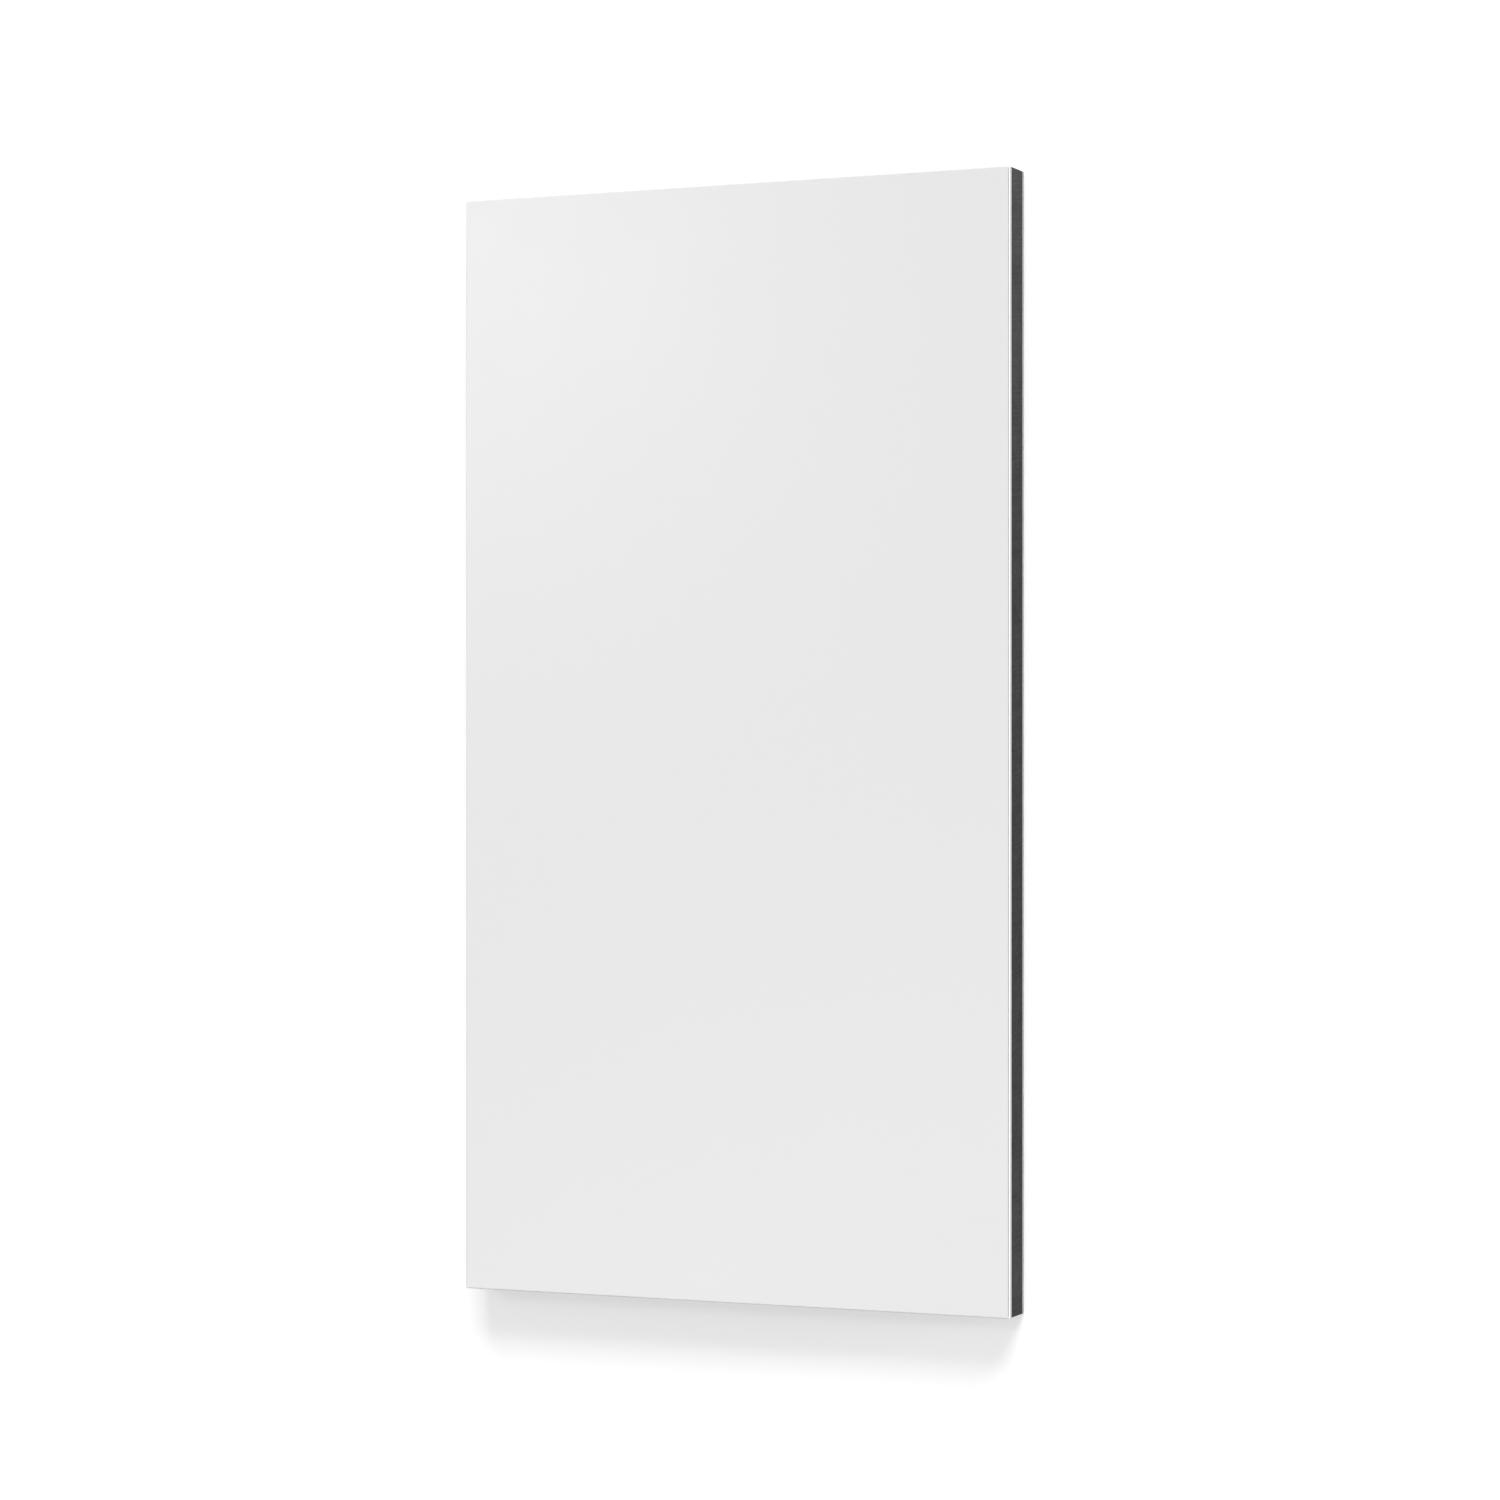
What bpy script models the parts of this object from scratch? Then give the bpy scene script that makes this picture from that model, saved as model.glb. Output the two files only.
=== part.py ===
"""Aluminium wall panel, lying flat with its white face up.

Two aluminium sheets are bonded to a rigid dark core, and the three are sawn to size together, so
that all the layers end flush. The front sheet is coated white over its face and its edges, and
the coating turns over a rounded arris. The back sheet is bare, and its sawn edges are deburred.

Metres, +Z up. X is the panel's width and Y is its length. The origin is at the middle of the bare
back, on the surface that the panel lies on.
"""

import bmesh
import bpy

# Outline of the panel
WIDTH = 0.323
LENGTH = 0.610

# Thickness of each layer, from the back up
BACK_SHEET = 0.0025
CORE = 0.0164
FRONT_SHEET = 0.0045
BOND_LINE = 0.0003  # room for the adhesive between a sheet and the core

# Radius of each layer's edges
COATED_ARRIS = 0.0006  # where the white coating turns over the front sheet's outline
DEBURRED_ARRIS = 0.0002  # bare sheet edges after the saw
SAWN_CORE_ARRIS = 0.00015  # the core keeps the crisp edge that the saw leaves
ARRIS_STEPS = 4  # flats that make up each rounded edge

# Colours from the photograph, and how each surface takes light
WHITE_COATING = {"colour": (0.80, 0.80, 0.80, 1.0), "roughness": 0.35, "metallic": 0.0}
DARK_CORE = {"colour": (0.045, 0.046, 0.047, 1.0), "roughness": 0.85, "metallic": 0.0}
BARE_ALUMINIUM = {"colour": (0.74, 0.75, 0.76, 1.0), "roughness": 0.4, "metallic": 1.0}


def clear_scene():
    for thing in list(bpy.data.objects):
        bpy.data.objects.remove(thing, do_unlink=True)


def make_material(name, look):
    material = bpy.data.materials.new(name)
    material.use_nodes = True
    shader = material.node_tree.nodes["Principled BSDF"]
    shader.inputs["Base Color"].default_value = look["colour"]
    shader.inputs["Roughness"].default_value = look["roughness"]
    shader.inputs["Metallic"].default_value = look["metallic"]
    material.diffuse_color = look["colour"]
    return material


def edge_place(edge):
    """Where an edge of a layer lies: round its upper face, round its lower face or up a corner."""
    low, high = sorted(vertex.co.z for vertex in edge.verts)
    if low > 0 and high > 0:
        return "upper"
    if low == 0 and high == 0:
        return "lower"
    return "corner"


def add_layer(name, thickness, underside, arris, look):
    """One flat layer as wide and long as the panel, its underside at the height given.

    arris gives the radius of its edges: upper, lower and corner.
    """
    shape = bmesh.new()
    outline = bmesh.ops.create_grid(shape, x_segments=1, y_segments=1, size=0.5)["verts"]
    bmesh.ops.scale(shape, vec=(WIDTH, LENGTH, 1.0), verts=outline)
    raised = bmesh.ops.extrude_face_region(shape, geom=shape.faces[:])["geom"]
    raised = [element for element in raised if isinstance(element, bmesh.types.BMVert)]
    bmesh.ops.translate(shape, vec=(0.0, 0.0, thickness), verts=raised)
    bmesh.ops.recalc_face_normals(shape, faces=shape.faces[:])

    widest = max(arris.values())
    share = shape.edges.layers.float.new("bevel_weight_edge")
    for edge in shape.edges:
        edge[share] = arris[edge_place(edge)] / widest

    mesh = bpy.data.meshes.new(name)
    shape.to_mesh(mesh)
    shape.free()
    mesh.shade_smooth()
    mesh.materials.append(make_material(name, look))

    layer = bpy.data.objects.new(name, mesh)
    layer.location.z = underside
    bpy.context.scene.collection.objects.link(layer)

    rounding = layer.modifiers.new("rounded_edges", "BEVEL")
    rounding.limit_method = "WEIGHT"
    rounding.width = widest
    rounding.segments = ARRIS_STEPS
    rounding.harden_normals = True  # the broad faces stay flat to the eye


def build_panel():
    core_underside = BACK_SHEET + BOND_LINE
    front_underside = core_underside + CORE + BOND_LINE

    add_layer(
        "back_sheet",
        BACK_SHEET,
        0.0,
        {"upper": DEBURRED_ARRIS, "lower": DEBURRED_ARRIS, "corner": DEBURRED_ARRIS},
        BARE_ALUMINIUM,
    )
    add_layer(
        "core",
        CORE,
        core_underside,
        {"upper": SAWN_CORE_ARRIS, "lower": SAWN_CORE_ARRIS, "corner": SAWN_CORE_ARRIS},
        DARK_CORE,
    )
    add_layer(
        "front_sheet",
        FRONT_SHEET,
        front_underside,
        {"upper": COATED_ARRIS, "lower": DEBURRED_ARRIS, "corner": COATED_ARRIS},
        WHITE_COATING,
    )


clear_scene()
build_panel()
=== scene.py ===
"""Looks of the aluminium wall panel: satin white face, sawn dark core and mill-finish back.

Metres, in the panel's own frame: it lies on its bare back with the white face up, its width along
X and its length along Y. The camera looks down on it at the photograph's angle to the face.
"""

import math

import bmesh
import bpy
from mathutils import Matrix, Vector, noise


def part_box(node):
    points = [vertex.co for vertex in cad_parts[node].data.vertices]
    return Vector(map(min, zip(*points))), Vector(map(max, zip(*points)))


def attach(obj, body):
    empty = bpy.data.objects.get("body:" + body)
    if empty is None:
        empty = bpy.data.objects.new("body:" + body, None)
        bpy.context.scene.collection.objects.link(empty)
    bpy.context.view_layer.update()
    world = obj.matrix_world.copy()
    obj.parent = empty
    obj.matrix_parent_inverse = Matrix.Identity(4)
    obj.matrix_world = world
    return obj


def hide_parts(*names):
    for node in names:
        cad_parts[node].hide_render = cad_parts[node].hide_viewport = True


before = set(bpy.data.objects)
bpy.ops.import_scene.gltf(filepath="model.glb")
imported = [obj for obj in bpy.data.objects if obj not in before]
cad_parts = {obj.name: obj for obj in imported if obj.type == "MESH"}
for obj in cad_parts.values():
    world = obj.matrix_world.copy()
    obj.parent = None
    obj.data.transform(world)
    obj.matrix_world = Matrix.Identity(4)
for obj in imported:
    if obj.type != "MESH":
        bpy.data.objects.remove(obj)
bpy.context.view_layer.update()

# Layers of the panel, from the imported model
FRONT_LOW, FRONT_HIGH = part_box("front_sheet")
CORE_LOW, CORE_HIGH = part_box("core")
BACK_LOW, BACK_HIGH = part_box("back_sheet")
HALF_WIDTH = FRONT_HIGH.x
HALF_LENGTH = FRONT_HIGH.y

# Rounded edges of the sheets
COATED_ARRIS = 0.0006
DEBURRED_ARRIS = 0.0002
BONDED_ARRIS = 0.00004  # crisp, where a sheet was bonded to the core before the saw cut both
COATING_TURN = 0.0021  # how far down the front sheet's edge the coating reaches
ARRIS_STEPS = 6
DEBURR_STEPS = 3
FLAT_MARGIN = 0.0004  # a loop just inside each flat keeps its shading level
SHARP_ANGLE = math.radians(40.0)
SAME_HEIGHT = 1e-6  # points nearer in height than this are level

# Sawn edge of the core
SAWN_CORNER = 0.0003
SAWN_CORNER_STEPS = 2
SAWN_PITCH = 0.0015  # spacing of the points that the saw's unevenness is made with
SAWN_DEPTH = 0.00006
SAW_MARK_PITCH = 0.004
SAW_MARK_STRETCH = 6.0  # how many times as tall as wide a mark is
SAW_MARK_SHARE = 0.35
SAW_GRAIN_SHARE = 0.25
BOND_RECESS = 0.00002  # how far the adhesive stops short of the edge
BOND_CLEARANCE = 0.00002  # between the core and each sheet

# Camera, fitted to the six corners of the panel in the photograph
LENS = 95.3
SENSOR = 36.0
CAMERA_AIM = Vector((0.01232, -0.02237, 0.024))
CAMERA_DISTANCE = 2.1591
CAMERA_TURN = math.radians(23.53)  # between the line of sight and the face's normal, towards +X
CAMERA_SHIFT = 0.0230  # upwards, as the photograph was cropped: its long edges stay parallel

# Studio. A light's level is the brightness that it alone gives to a white floor.
FLOOR_RADIUS = 30.0
FLOOR_SIDES = 64
FLOOR_COLOUR = (0.95, 0.95, 0.95, 1.0)
FLOOR_GLOW = 0.24
DOME_LEVEL = 0.20
TOP_LEVEL = 0.22
TOP_HEIGHT = math.radians(90.0)
TOP_SOFTNESS = math.radians(5.0)
KEY_LEVEL = 0.39
KEY_HEIGHT = math.radians(23.0)
KEY_BEARING = math.radians(12.0)  # from the panel's upper end towards +X
KEY_SOFTNESS = math.radians(42.0)
SOFTBOXES = (  # name, place, width and length, level, whether glossy surfaces mirror it
    ("sheen_softbox", (-1.80, 0.78, 3.0), (0.6, 0.6), 0.06, True),
    ("foot_softbox", (-1.30, -0.79, 3.0), (0.6, 1.6), 0.045, True),
    ("side_softbox", (4.0, 0.3, 0.42), (1.4, 0.7), 0.048, False),
    ("front_softbox", (0.0, -3.5, 1.3), (1.6, 1.6), 0.04, False),
)
EDGE_LAMPS = (  # small low lamps that lighten the ends of the core: name, place, power
    ("edge_lamp_upper", (0.40, 0.36, 0.006), 1.10),
    ("edge_lamp_lower", (0.40, -0.40, 0.006), 0.65),
)
EDGE_LAMP_SIZE = (0.10, 0.01)

# Colours
WHITE = (1.0, 1.0, 1.0, 1.0)
FACE_WHITE = (0.823, 0.823, 0.823, 1.0)
# Painted light: the coating on the front sheet's edge is given a whiter colour than the face, so
# the edge reads as brightly lit
EDGE_PAINTED_LIGHT_COLOUR = (0.945, 0.945, 0.945, 1.0)
# Painted shade on the coated arris: faint round the ends and the left side, and along the right
# side grey on its upper part and darker on its lower part
ARRIS_FAINT_PAINTED_SHADE = (0.74, 0.74, 0.74, 1.0)
ARRIS_UPPER_PAINTED_SHADE = (0.51, 0.51, 0.51, 1.0)
ARRIS_LOWER_PAINTED_SHADE = (0.31, 0.31, 0.31, 1.0)
CORE_DARK = (0.0134, 0.0134, 0.0135, 1.0)
CORE_LIGHT = (0.0275, 0.0276, 0.0277, 1.0)
METAL_DULL = (0.665, 0.67, 0.675, 1.0)
METAL_BRIGHT = (0.805, 0.81, 0.815, 1.0)
FRONT_SAWN = (0.613, 0.613, 0.615, 1.0)
BACK_SAWN = (0.478, 0.479, 0.481, 1.0)

# Where the painted light on the front sheet's edge, the arris and the arris's painted shade begin
# and end, as shares of the coated arris's radius: start and end of each change
EDGE_PAINTED_LIGHT_SPAN = (0.5, 1.2)
ARRIS_INNER_SIDE = (0.6, 0.9)
ARRIS_FOOT = (0.9, 1.2)
ARRIS_SHADE_DEEPENS = (0.1, 0.5)
CORNER_BLEND = (0.0, 3.0)
COATING_WANDER = 0.0001  # how far the coating's lower end strays up and down
COATING_FADE = 0.0002

# Unevenness of each surface: size of its patches along X, Y and Z, and how far it goes
NOISE_SPAN = (0.3, 0.7)  # the noise mostly lies between these
WANDER_PATCH = (0.020, 0.020, 0.020)
SHEEN_PATCH = (0.05, 0.05, 0.05)
PEEL_PATCH = (0.0022, 0.0022, 0.0022)
CORE_TONE_PATCH = (0.012, 0.012, 0.012)
CORE_TONE = (0.3, 0.7)
CORE_GRAIN_PATCH = (0.0005, 0.0005, 0.0005)
CORE_GRAIN = 0.35
CORE_STREAKS = 0.3
CORE_ROUGHNESS_PATCH = (0.006, 0.006, 0.006)
ROLLED_PATCH = (0.0009, 0.14, 0.0009)
CLOUD_PATCH = (0.03, 0.12, 0.03)
METAL_CLOUDS = 0.25

# Gloss: roughness from the smoothest place to the roughest, and what some places add to it
FACE_ROUGHNESS = (0.285, 0.305)
ARRIS_ROUGHER = 0.4
FRONT_SAWN_ROUGHER = 0.2
CORE_ROUGHNESS = (0.74, 0.88)
CORE_SPECULAR = 0.2
METAL_ROUGHNESS = (0.34, 0.44)
BACK_SAWN_ROUGHER = 0.12

# Fine relief. The saw's lines are given against the rest of a surface's relief.
SHEET_RELIEF = 0.000004
SHEET_SAW_PITCH = 0.0005
FRONT_SAW_LINES = 5.0
BACK_SAW_LINES = 6.0
CORE_RELIEF = 0.00009
CORE_SAW_PITCH = 0.0012
CORE_SAW_LINES = 0.8
CORE_CELLS = 1400.0  # to the metre
SAW_LEAN = 0.12  # how far a line leans along the edge, for its height


# Modelling


def board(low, high):
    """A square-edged board between two corners."""
    shape = bmesh.new()
    bmesh.ops.create_cube(shape, size=1.0)
    bmesh.ops.scale(shape, vec=high - low, verts=shape.verts)
    bmesh.ops.translate(shape, vec=(low + high) / 2, verts=shape.verts)
    return shape


def rim(shape, height):
    """The edges round a board's upper or lower face."""
    return [e for e in shape.edges if all(abs(v.co.z - height) < SAME_HEIGHT for v in e.verts)]


def corners(shape):
    """The upright edges at a board's four corners."""
    return [e for e in shape.edges if abs(e.verts[0].co.z - e.verts[1].co.z) > SAME_HEIGHT]


def round_over(shape, edges, radius, steps):
    bmesh.ops.bevel(
        shape,
        geom=edges,
        offset=radius,
        offset_type="OFFSET",
        segments=steps,
        profile=0.5,
        affect="EDGES",
        clamp_overlap=True,
        material=-1,
    )


def frame_flats(shape):
    """Puts a narrow loop inside each of a board's six flats."""
    flats = sorted(shape.faces, key=lambda face: face.calc_area())[-6:]
    bmesh.ops.inset_individual(shape, faces=flats, thickness=FLAT_MARGIN)


def finish_piece(name, shape, material, node):
    """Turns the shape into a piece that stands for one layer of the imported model."""
    bmesh.ops.recalc_face_normals(shape, faces=shape.faces[:])
    mesh = bpy.data.meshes.new(name)
    shape.to_mesh(mesh)
    shape.free()
    mesh.shade_smooth()
    mesh.set_sharp_from_angle(angle=SHARP_ANGLE)
    mesh.materials.append(material)
    piece = bpy.data.objects.new(name, mesh)
    bpy.context.scene.collection.objects.link(piece)
    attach(piece, "root")
    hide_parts(node)
    return piece


def make_front_sheet(material):
    shape = board(FRONT_LOW, FRONT_HIGH)
    round_over(shape, rim(shape, FRONT_HIGH.z) + corners(shape), COATED_ARRIS, ARRIS_STEPS)
    round_over(shape, rim(shape, FRONT_LOW.z), BONDED_ARRIS, 1)
    frame_flats(shape)
    finish_piece("coated_front_sheet", shape, material, "front_sheet")


def make_back_sheet(material):
    shape = board(BACK_LOW, BACK_HIGH)
    round_over(shape, rim(shape, BACK_LOW.z) + corners(shape), DEBURRED_ARRIS, DEBURR_STEPS)
    frame_flats(shape)
    finish_piece("mill_finish_back_sheet", shape, material, "back_sheet")


def extrude_cap(shape, cap, rise=0.0, spread=(1.0, 1.0, 1.0)):
    """Extrudes the core's upper face by rise, scaled about the panel's middle, and returns it."""
    grown = bmesh.ops.extrude_face_region(shape, geom=[cap])["geom"]
    cap = next(part for part in grown if isinstance(part, bmesh.types.BMFace))
    bmesh.ops.translate(shape, vec=(0.0, 0.0, rise), verts=cap.verts[:])
    bmesh.ops.scale(shape, vec=spread, verts=cap.verts[:])
    return cap


def saw_unevenness(vertex):
    """Moves a point of the sawn edge a little way in, as the saw leaves it."""
    along = (vertex.co.x + vertex.co.y) / SAW_MARK_PITCH
    up = vertex.co.z / SAW_MARK_PITCH / SAW_MARK_STRETCH
    marks = noise.noise(Vector((along, up, 0.0)))
    grain = noise.noise(vertex.co / SAWN_PITCH)
    share = 0.5 + SAW_MARK_SHARE * marks + SAW_GRAIN_SHARE * grain
    depth = SAWN_DEPTH * max(0.0, min(1.0, share))
    for axis, half in ((0, HALF_WIDTH), (1, HALF_LENGTH)):
        if abs(vertex.co[axis]) > half - SAWN_CORNER:
            vertex.co[axis] -= math.copysign(depth, vertex.co[axis])


def make_core(material):
    """The core reaches both sheets, with a shallow groove where the adhesive stops short."""
    recessed = (1.0 - BOND_RECESS / HALF_WIDTH, 1.0 - BOND_RECESS / HALF_LENGTH, 1.0)
    flush = (1.0 / recessed[0], 1.0 / recessed[1], 1.0)
    bond_line = CORE_LOW.z - BACK_HIGH.z - BOND_CLEARANCE
    rows = round((CORE_HIGH.z - CORE_LOW.z) / SAWN_PITCH)

    shape = bmesh.new()
    bmesh.ops.create_grid(shape, x_segments=1, y_segments=1, size=0.5)
    bmesh.ops.scale(shape, vec=(2 * HALF_WIDTH, 2 * HALF_LENGTH, 1.0), verts=shape.verts)
    bmesh.ops.translate(shape, vec=(0.0, 0.0, CORE_LOW.z - bond_line), verts=shape.verts)
    bmesh.ops.bevel(
        shape,
        geom=shape.verts[:],
        offset=SAWN_CORNER,
        segments=SAWN_CORNER_STEPS,
        profile=0.5,
        affect="VERTICES",
        material=-1,
    )
    for side in [e for e in shape.edges if e.calc_length() > HALF_WIDTH]:
        cuts = round(side.calc_length() / SAWN_PITCH) - 1
        bmesh.ops.subdivide_edges(shape, edges=[side], cuts=cuts)

    cap = shape.faces[:][0]
    bmesh.ops.scale(shape, vec=recessed, verts=cap.verts[:])
    cap = extrude_cap(shape, cap, rise=bond_line)
    cap = extrude_cap(shape, cap, spread=flush)
    sawn = cap.verts[:]
    for _ in range(rows):
        cap = extrude_cap(shape, cap, rise=(CORE_HIGH.z - CORE_LOW.z) / rows)
        sawn += cap.verts[:]
    cap = extrude_cap(shape, cap, spread=recessed)
    extrude_cap(shape, cap, rise=bond_line)
    for vertex in sawn:
        saw_unevenness(vertex)
    return finish_piece("sawn_core_board", shape, material, "core")


# Shading tools


def add_node(tree, kind, inputs=None, **settings):
    """A node with its settings and inputs; an input is a value or another node's output."""
    node = tree.nodes.new(kind)
    for name, value in settings.items():
        setattr(node, name, value)
    for name, value in (inputs or {}).items():
        if isinstance(value, bpy.types.NodeSocket):
            tree.links.new(value, node.inputs[name])
        else:
            node.inputs[name].default_value = value
    return node


def blend_colours(tree, share, first, second):
    """The first colour where share is 0 and the second where it is 1."""
    inputs = {"Factor": share, 6: first, 7: second}
    return add_node(tree, "ShaderNodeMix", inputs, data_type="RGBA").outputs[2]


def ramp(tree, value, start, end, low=0.0, high=1.0):
    """A smooth step from low, at start and before, to high, at end and after."""
    inputs = {"Value": value, "From Min": start, "From Max": end, "To Min": low, "To Max": high}
    return add_node(tree, "ShaderNodeMapRange", inputs, interpolation_type="SMOOTHSTEP").outputs[0]


def arris_ramp(tree, value, shares, low=0.0, high=1.0):
    """A ramp whose start and end are shares of the coated arris's radius."""
    return ramp(tree, value, shares[0] * COATED_ARRIS, shares[1] * COATED_ARRIS, low, high)


def calculate(tree, operation, *values):
    return add_node(tree, "ShaderNodeMath", dict(enumerate(values)), operation=operation).outputs[0]


def new_group(name, takes, gives):
    """A shared effect. takes and gives list its sockets as name, kind and, for inputs, value."""
    tree = bpy.data.node_groups.new(name, "ShaderNodeTree")
    for label, kind, value in takes:
        socket = tree.interface.new_socket(label, in_out="INPUT", socket_type=kind)
        socket.default_value = value
    for label, kind in gives:
        tree.interface.new_socket(label, in_out="OUTPUT", socket_type=kind)
    return tree, tree.nodes.new("NodeGroupInput").outputs, tree.nodes.new("NodeGroupOutput").inputs


def use_group(tree, group, inputs):
    return add_node(tree, "ShaderNodeGroup", inputs, node_tree=group).outputs


def make_edge_distance():
    """How far a place is from the outline, the ends and the right side, and under an upper face."""
    tree, given, result = new_group(
        "edge_distance",
        [
            ("Position", "NodeSocketVector", (0.0, 0.0, 0.0)),
            ("Half Size", "NodeSocketVector", (HALF_WIDTH, HALF_LENGTH, 0.0)),
            ("Upper Face", "NodeSocketFloat", 0.0),
        ],
        [
            ("From Outline", "NodeSocketFloat"),
            ("From Ends", "NodeSocketFloat"),
            ("From Right", "NodeSocketFloat"),
            ("Under Face", "NodeSocketFloat"),
        ],
    )
    place = add_node(tree, "ShaderNodeSeparateXYZ", {0: given["Position"]}).outputs
    half = add_node(tree, "ShaderNodeSeparateXYZ", {0: given["Half Size"]}).outputs
    from_sides = calculate(tree, "SUBTRACT", half["X"], calculate(tree, "ABSOLUTE", place["X"]))
    from_ends = calculate(tree, "SUBTRACT", half["Y"], calculate(tree, "ABSOLUTE", place["Y"]))
    from_outline = calculate(tree, "MINIMUM", from_sides, from_ends)
    from_right = calculate(tree, "SUBTRACT", half["X"], place["X"])
    under_face = calculate(tree, "SUBTRACT", given["Upper Face"], place["Z"])
    tree.links.new(from_outline, result["From Outline"])
    tree.links.new(from_ends, result["From Ends"])
    tree.links.new(from_right, result["From Right"])
    tree.links.new(under_face, result["Under Face"])
    return tree


def make_mottling():
    """Soft unevenness of a surface, from Low to High, in patches as large as Patch."""
    tree, given, result = new_group(
        "mottling",
        [
            ("Position", "NodeSocketVector", (0.0, 0.0, 0.0)),
            ("Patch", "NodeSocketVector", (0.01, 0.01, 0.01)),
            ("Detail", "NodeSocketFloat", 2.0),
            ("Low", "NodeSocketFloat", 0.0),
            ("High", "NodeSocketFloat", 1.0),
        ],
        [("Value", "NodeSocketFloat")],
    )
    scaled = {0: given["Position"], 1: given["Patch"]}
    scaled = add_node(tree, "ShaderNodeVectorMath", scaled, operation="DIVIDE").outputs[0]
    cloud = {"Vector": scaled, "Scale": 1.0, "Detail": given["Detail"]}
    cloud = add_node(tree, "ShaderNodeTexNoise", cloud).outputs[0]
    value = ramp(tree, cloud, *NOISE_SPAN, given["Low"], given["High"])
    tree.links.new(value, result["Value"])
    return tree


def mottle(tree, mottling, place, patch, low=0.0, high=1.0, detail=2.0):
    """Places the mottling in a material."""
    inputs = {"Position": place, "Patch": patch, "Detail": detail, "Low": low, "High": high}
    return use_group(tree, mottling, inputs)["Value"]


def make_saw_marks():
    """Height of the fine upright lines that a saw leaves on the panel's four edges."""
    tree, given, result = new_group(
        "saw_marks",
        [
            ("Position", "NodeSocketVector", (0.0, 0.0, 0.0)),
            ("Pitch", "NodeSocketFloat", 0.001),
        ],
        [("Height", "NodeSocketFloat")],
    )
    place = add_node(tree, "ShaderNodeSeparateXYZ", {0: given["Position"]}).outputs
    along = calculate(tree, "ADD", place["X"], place["Y"])
    along = calculate(tree, "MULTIPLY_ADD", place["Z"], SAW_LEAN, along)
    steps = calculate(tree, "DIVIDE", along, given["Pitch"])
    lines = {"W": steps, "Scale": 1.0, "Detail": 3.0, "Roughness": 0.6}
    lines = add_node(tree, "ShaderNodeTexNoise", lines, noise_dimensions="1D")
    tree.links.new(lines.outputs[0], result["Height"])
    return tree


def new_material(name):
    """A material with its tree, its shader's inputs and the place on the panel as a socket."""
    material = bpy.data.materials.new(name)
    material.use_nodes = True
    tree = material.node_tree
    shader = tree.nodes["Principled BSDF"]
    return material, tree, shader.inputs, tree.nodes.new("ShaderNodeTexCoord").outputs["Object"]


def add_bump(tree, shader, height, distance):
    inputs = {"Height": height, "Distance": distance}
    tree.links.new(add_node(tree, "ShaderNodeBump", inputs).outputs[0], shader["Normal"])


def make_white_coating(edge_distance, mottling, saw_marks):
    """Satin white coating that ends partway down the sawn edge, with painted shade over the arris.

    The painted shade on the arris is deepest along the right side and faint round the others, and
    the front sheet's edge has painted light.
    """
    material, tree, shader, place = new_material("satin_white_coating")
    away = use_group(tree, edge_distance, {"Position": place, "Upper Face": FRONT_HIGH.z})

    # painted light: where the front sheet's edge takes the whiter colour
    edge_painted_light = arris_ramp(tree, away["Under Face"], EDGE_PAINTED_LIGHT_SPAN)
    inside = arris_ramp(tree, away["From Outline"], ARRIS_INNER_SIDE, 1.0, 0.0)
    above = arris_ramp(tree, away["Under Face"], ARRIS_FOOT, 1.0, 0.0)
    on_arris = calculate(tree, "MULTIPLY", inside, above)
    # painted shade: the arris is drawn darker on its lower part, where it turns towards the side
    deeper_shade = arris_ramp(tree, away["Under Face"], ARRIS_SHADE_DEEPENS)
    # painted shade: the arris is greyest along the right side and faint at the ends and the left
    past_corner = calculate(tree, "SUBTRACT", away["From Ends"], away["From Right"])
    right = arris_ramp(tree, past_corner, CORNER_BLEND)
    wander = mottle(tree, mottling, place, WANDER_PATCH, -COATING_WANDER, COATING_WANDER)
    reach = calculate(tree, "ADD", away["Under Face"], wander)
    bare = ramp(tree, reach, COATING_TURN - COATING_FADE, COATING_TURN + COATING_FADE)

    # painted shade for the arris: darker low down and along the right side
    arris = blend_colours(tree, deeper_shade, ARRIS_UPPER_PAINTED_SHADE, ARRIS_LOWER_PAINTED_SHADE)
    arris = blend_colours(tree, right, ARRIS_FAINT_PAINTED_SHADE, arris)
    # painted light: the front sheet's edge is whiter than the face
    colour = blend_colours(tree, edge_painted_light, FACE_WHITE, EDGE_PAINTED_LIGHT_COLOUR)
    # painted shade over the arris
    colour = blend_colours(tree, on_arris, colour, arris)
    colour = blend_colours(tree, bare, colour, FRONT_SAWN)
    tree.links.new(colour, shader["Base Color"])
    tree.links.new(bare, shader["Metallic"])

    rough = mottle(tree, mottling, place, SHEEN_PATCH, *FACE_ROUGHNESS)
    rough = calculate(tree, "MULTIPLY_ADD", bare, FRONT_SAWN_ROUGHER, rough)
    rough = calculate(tree, "MULTIPLY_ADD", on_arris, ARRIS_ROUGHER, rough)
    tree.links.new(rough, shader["Roughness"])

    peel = mottle(tree, mottling, place, PEEL_PATCH, detail=1.0)
    lines = use_group(tree, saw_marks, {"Position": place, "Pitch": SHEET_SAW_PITCH})["Height"]
    lines = calculate(tree, "MULTIPLY", lines, bare)
    height = calculate(tree, "MULTIPLY_ADD", lines, FRONT_SAW_LINES, peel)
    add_bump(tree, shader, height, SHEET_RELIEF)
    return material


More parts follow.
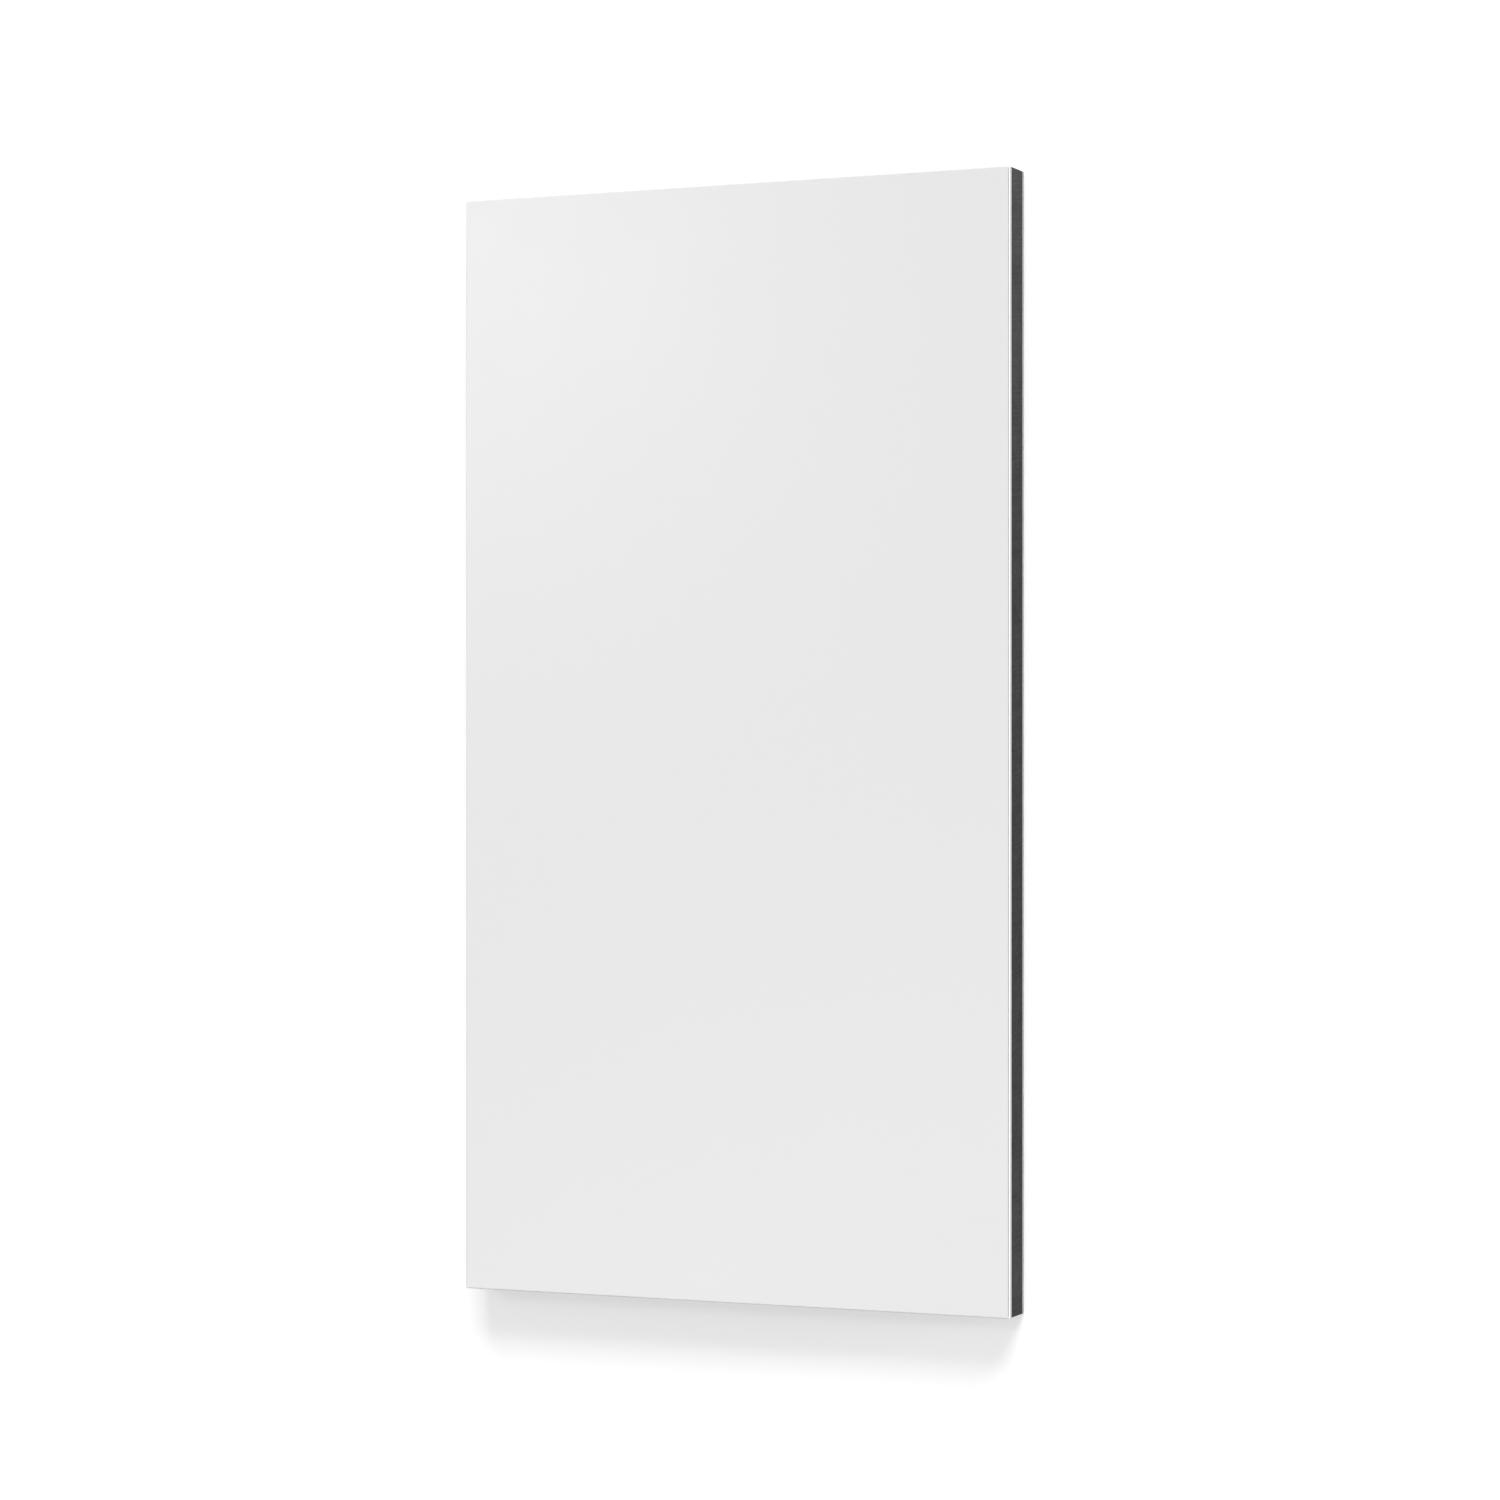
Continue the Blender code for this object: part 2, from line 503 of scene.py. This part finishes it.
def make_dark_core(mottling, saw_marks):
    """Dark rigid core with fine opened cells and upright saw marks."""
    material, tree, shader, place = new_material("sawn_dark_core")
    shader["Specular IOR Level"].default_value = CORE_SPECULAR

    lines = use_group(tree, saw_marks, {"Position": place, "Pitch": CORE_SAW_PITCH})["Height"]
    streaks = ramp(tree, lines, *NOISE_SPAN, -CORE_STREAKS, CORE_STREAKS)
    grain = mottle(tree, mottling, place, CORE_GRAIN_PATCH, -CORE_GRAIN, CORE_GRAIN)
    share = mottle(tree, mottling, place, CORE_TONE_PATCH, *CORE_TONE)
    share = calculate(tree, "ADD", share, grain)
    share = calculate(tree, "ADD", share, streaks)
    tree.links.new(blend_colours(tree, share, CORE_DARK, CORE_LIGHT), shader["Base Color"])

    rough = mottle(tree, mottling, place, CORE_ROUGHNESS_PATCH, *CORE_ROUGHNESS)
    tree.links.new(rough, shader["Roughness"])
    cells = {"Vector": place, "Scale": CORE_CELLS}
    cells = add_node(tree, "ShaderNodeTexVoronoi", cells).outputs[0]
    height = calculate(tree, "MULTIPLY_ADD", lines, CORE_SAW_LINES, cells)
    add_bump(tree, shader, height, CORE_RELIEF)
    return material


def make_bare_aluminium(edge_distance, mottling, saw_marks):
    """Mill-finish aluminium, rolled along the panel's length and sawn at its edges."""
    material, tree, shader, place = new_material("mill_finish_aluminium")
    shader["Metallic"].default_value = 1.0
    away = use_group(tree, edge_distance, {"Position": place, "Upper Face": BACK_HIGH.z})
    sawn = ramp(tree, away["From Outline"], 0.0, DEBURRED_ARRIS / 2, 1.0, 0.0)

    rolled = mottle(tree, mottling, place, ROLLED_PATCH, detail=4.0)
    clouds = mottle(tree, mottling, place, CLOUD_PATCH, -METAL_CLOUDS, METAL_CLOUDS)
    share = calculate(tree, "ADD", rolled, clouds)
    colour = blend_colours(tree, share, METAL_DULL, METAL_BRIGHT)
    colour = blend_colours(tree, sawn, colour, BACK_SAWN)
    tree.links.new(colour, shader["Base Color"])

    rough = ramp(tree, rolled, 0.0, 1.0, *METAL_ROUGHNESS)
    rough = calculate(tree, "MULTIPLY_ADD", sawn, BACK_SAWN_ROUGHER, rough)
    tree.links.new(rough, shader["Roughness"])
    lines = use_group(tree, saw_marks, {"Position": place, "Pitch": SHEET_SAW_PITCH})["Height"]
    lines = calculate(tree, "MULTIPLY", lines, sawn)
    height = calculate(tree, "MULTIPLY_ADD", lines, BACK_SAW_LINES, rolled)
    add_bump(tree, shader, height, SHEET_RELIEF)
    return material


# Studio


def aim(thing, target):
    thing.rotation_euler = (target - thing.location).to_track_quat("-Z", "Y").to_euler()


def place_in_scene(name, data, place, target):
    thing = bpy.data.objects.new(name, data)
    thing.location = place
    aim(thing, target)
    bpy.context.scene.collection.objects.link(thing)
    return thing


def make_softbox(name, place, size, power, target):
    light = bpy.data.lights.new(name, "AREA")
    light.shape = "RECTANGLE"
    light.size, light.size_y = size
    light.energy = power
    softbox = place_in_scene(name, light, place, target)
    softbox.visible_camera = False
    return softbox


def make_softboxes():
    """Softboxes aimed at the middle of the panel."""
    for name, place, size, level, mirrored in SOFTBOXES:
        place = Vector(place)
        power = level * math.pi**2 * place.length**3 / place.z
        make_softbox(name, place, size, power, Vector()).visible_glossy = mirrored


def make_edge_lamps(core):
    """Lamps for the core alone, so that they don't wash out the arris above it."""
    lit = bpy.data.collections.new("lit_by_edge_lamps")
    lit.objects.link(core)
    for name, place, power in EDGE_LAMPS:
        target = Vector((HALF_WIDTH, place[1], CORE_LOW.z))
        lamp = make_softbox(name, Vector(place), EDGE_LAMP_SIZE, power, target)
        lamp.visible_glossy = False
        lamp.light_linking.receiver_collection = lit


def make_far_light(name, level, softness, height, bearing=0.0):
    """A light far enough away to be even over the panel, kept from glaring in its satin face."""
    light = bpy.data.lights.new(name, "SUN")
    light.angle = softness
    light.energy = level * math.pi / math.sin(height)
    flat = math.cos(height)
    place = (math.sin(bearing) * flat, math.cos(bearing) * flat, math.sin(height))
    place_in_scene(name, light, Vector(place), Vector()).visible_glossy = False


def make_floor():
    """A plain white floor that glows a little, as a lit table does."""
    shape = bmesh.new()
    bmesh.ops.create_circle(shape, cap_ends=True, segments=FLOOR_SIDES, radius=FLOOR_RADIUS)
    mesh = bpy.data.meshes.new("floor")
    shape.to_mesh(mesh)
    shape.free()
    material, _, shader, _ = new_material("white_floor")
    shader["Base Color"].default_value = FLOOR_COLOUR
    shader["Roughness"].default_value = 1.0
    shader["Specular IOR Level"].default_value = 0.0
    shader["Emission Color"].default_value = WHITE
    shader["Emission Strength"].default_value = FLOOR_GLOW
    mesh.materials.append(material)
    floor = bpy.data.objects.new("floor", mesh)
    bpy.context.scene.collection.objects.link(floor)


def make_surroundings():
    """White all round to the eye, and a faint even light on the panel."""
    world = bpy.data.worlds.new("studio")
    world.use_nodes = True
    tree = world.node_tree
    lit = tree.nodes["Background"]
    lit.inputs["Color"].default_value = WHITE
    lit.inputs["Strength"].default_value = DOME_LEVEL
    seen = add_node(tree, "ShaderNodeBackground", {"Color": WHITE})
    eye = tree.nodes.new("ShaderNodeLightPath").outputs["Is Camera Ray"]
    mixed = {0: eye, 1: lit.outputs[0], 2: seen.outputs[0]}
    mixed = add_node(tree, "ShaderNodeMixShader", mixed)
    tree.links.new(mixed.outputs[0], tree.nodes["World Output"].inputs["Surface"])
    bpy.context.scene.world = world


def make_camera():
    data = bpy.data.cameras.new("camera")
    data.lens = LENS
    data.sensor_width = SENSOR
    data.shift_y = CAMERA_SHIFT
    camera = bpy.data.objects.new("camera", data)
    turn = Matrix.Rotation(CAMERA_TURN, 3, "Y")
    camera.rotation_euler = turn.to_euler()
    camera.location = CAMERA_AIM + turn @ Vector((0.0, 0.0, CAMERA_DISTANCE))
    bpy.context.scene.collection.objects.link(camera)
    bpy.context.scene.camera = camera


edge_distance = make_edge_distance()
mottling = make_mottling()
saw_marks = make_saw_marks()

make_front_sheet(make_white_coating(edge_distance, mottling, saw_marks))
core = make_core(make_dark_core(mottling, saw_marks))
make_back_sheet(make_bare_aluminium(edge_distance, mottling, saw_marks))

make_floor()
make_far_light("key_light", KEY_LEVEL, KEY_SOFTNESS, KEY_HEIGHT, KEY_BEARING)
make_far_light("top_light", TOP_LEVEL, TOP_SOFTNESS, TOP_HEIGHT)
make_softboxes()
make_edge_lamps(core)
make_surroundings()
make_camera()
bpy.context.scene.view_settings.view_transform = "Standard"
